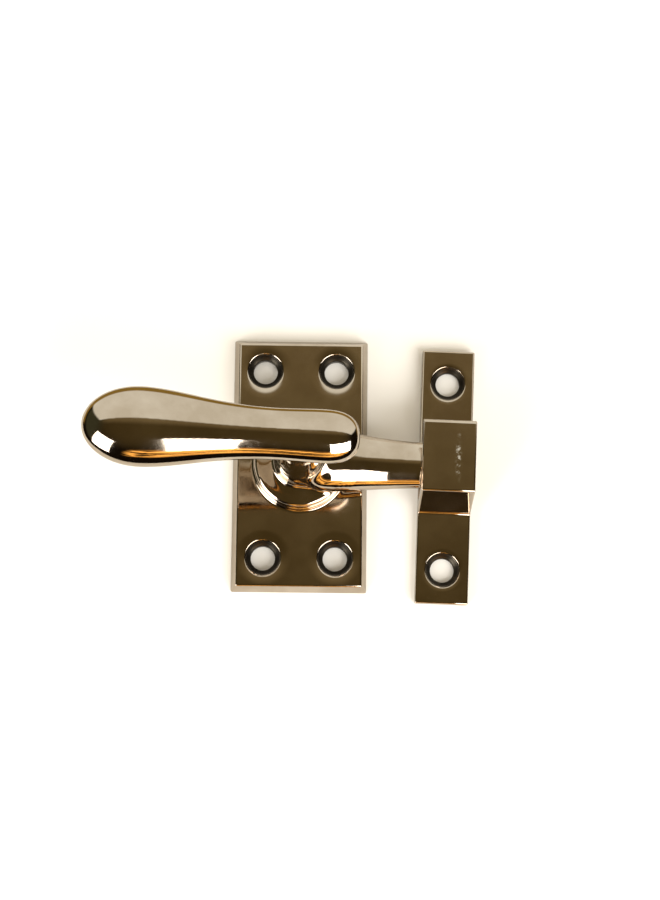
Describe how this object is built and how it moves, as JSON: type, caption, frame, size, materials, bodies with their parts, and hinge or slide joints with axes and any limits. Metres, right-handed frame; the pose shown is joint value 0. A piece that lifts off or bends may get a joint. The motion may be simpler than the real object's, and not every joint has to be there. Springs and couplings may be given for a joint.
{
  "type": "casement window fastener",
  "caption": "Casement window fastener: bulb-ended lever on a screw-on rectangular backplate, its tongue closing into a separate hook strike.",
  "frame": {"origin": "where the lever's pivot axis meets the mounting plane, the middle of the backplate's back", "axes": "+Z out of the mounting plane towards the grip, +X from the pivot towards the strike, +Y along the backplate's long side"},
  "size_m": [0.0787, 0.0563, 0.046],
  "materials": {
    "plate_nickel": "solid brass, polished and plated in warm nickel, mirror bright",
    "lever_nickel": "cast brass, buffed and plated in warm nickel, mirror bright",
    "strike_nickel": "brass, plated in warm nickel, bright with fine scuffs where the tongue rubs",
    "plain_steel": "turned, unplated",
    "spring_bronze": "rolled phosphor bronze"
  },
  "bodies": {
    "root": {"backplate": "plate_nickel", "thrust_washer": "spring_bronze", "spring_washer": "spring_bronze"},
    "lever": {"lever": "lever_nickel", "pivot_pin": "plain_steel", "retaining_washer": "plain_steel"},
    "strike": {"strike": "strike_nickel"}
  },
  "joints": [
    {"name": "lever_turn", "type": "hinge", "parent": "root", "child": "lever", "pos_m": [0, 0, 0], "axis": [0, 0, 1], "range_deg": [0, 90]},
    {"name": "strike_draw", "type": "slide", "parent": "root", "child": "strike", "axis": [0.9996, -0.0297, 0], "range_m": [0, 0.025]}
  ]
}
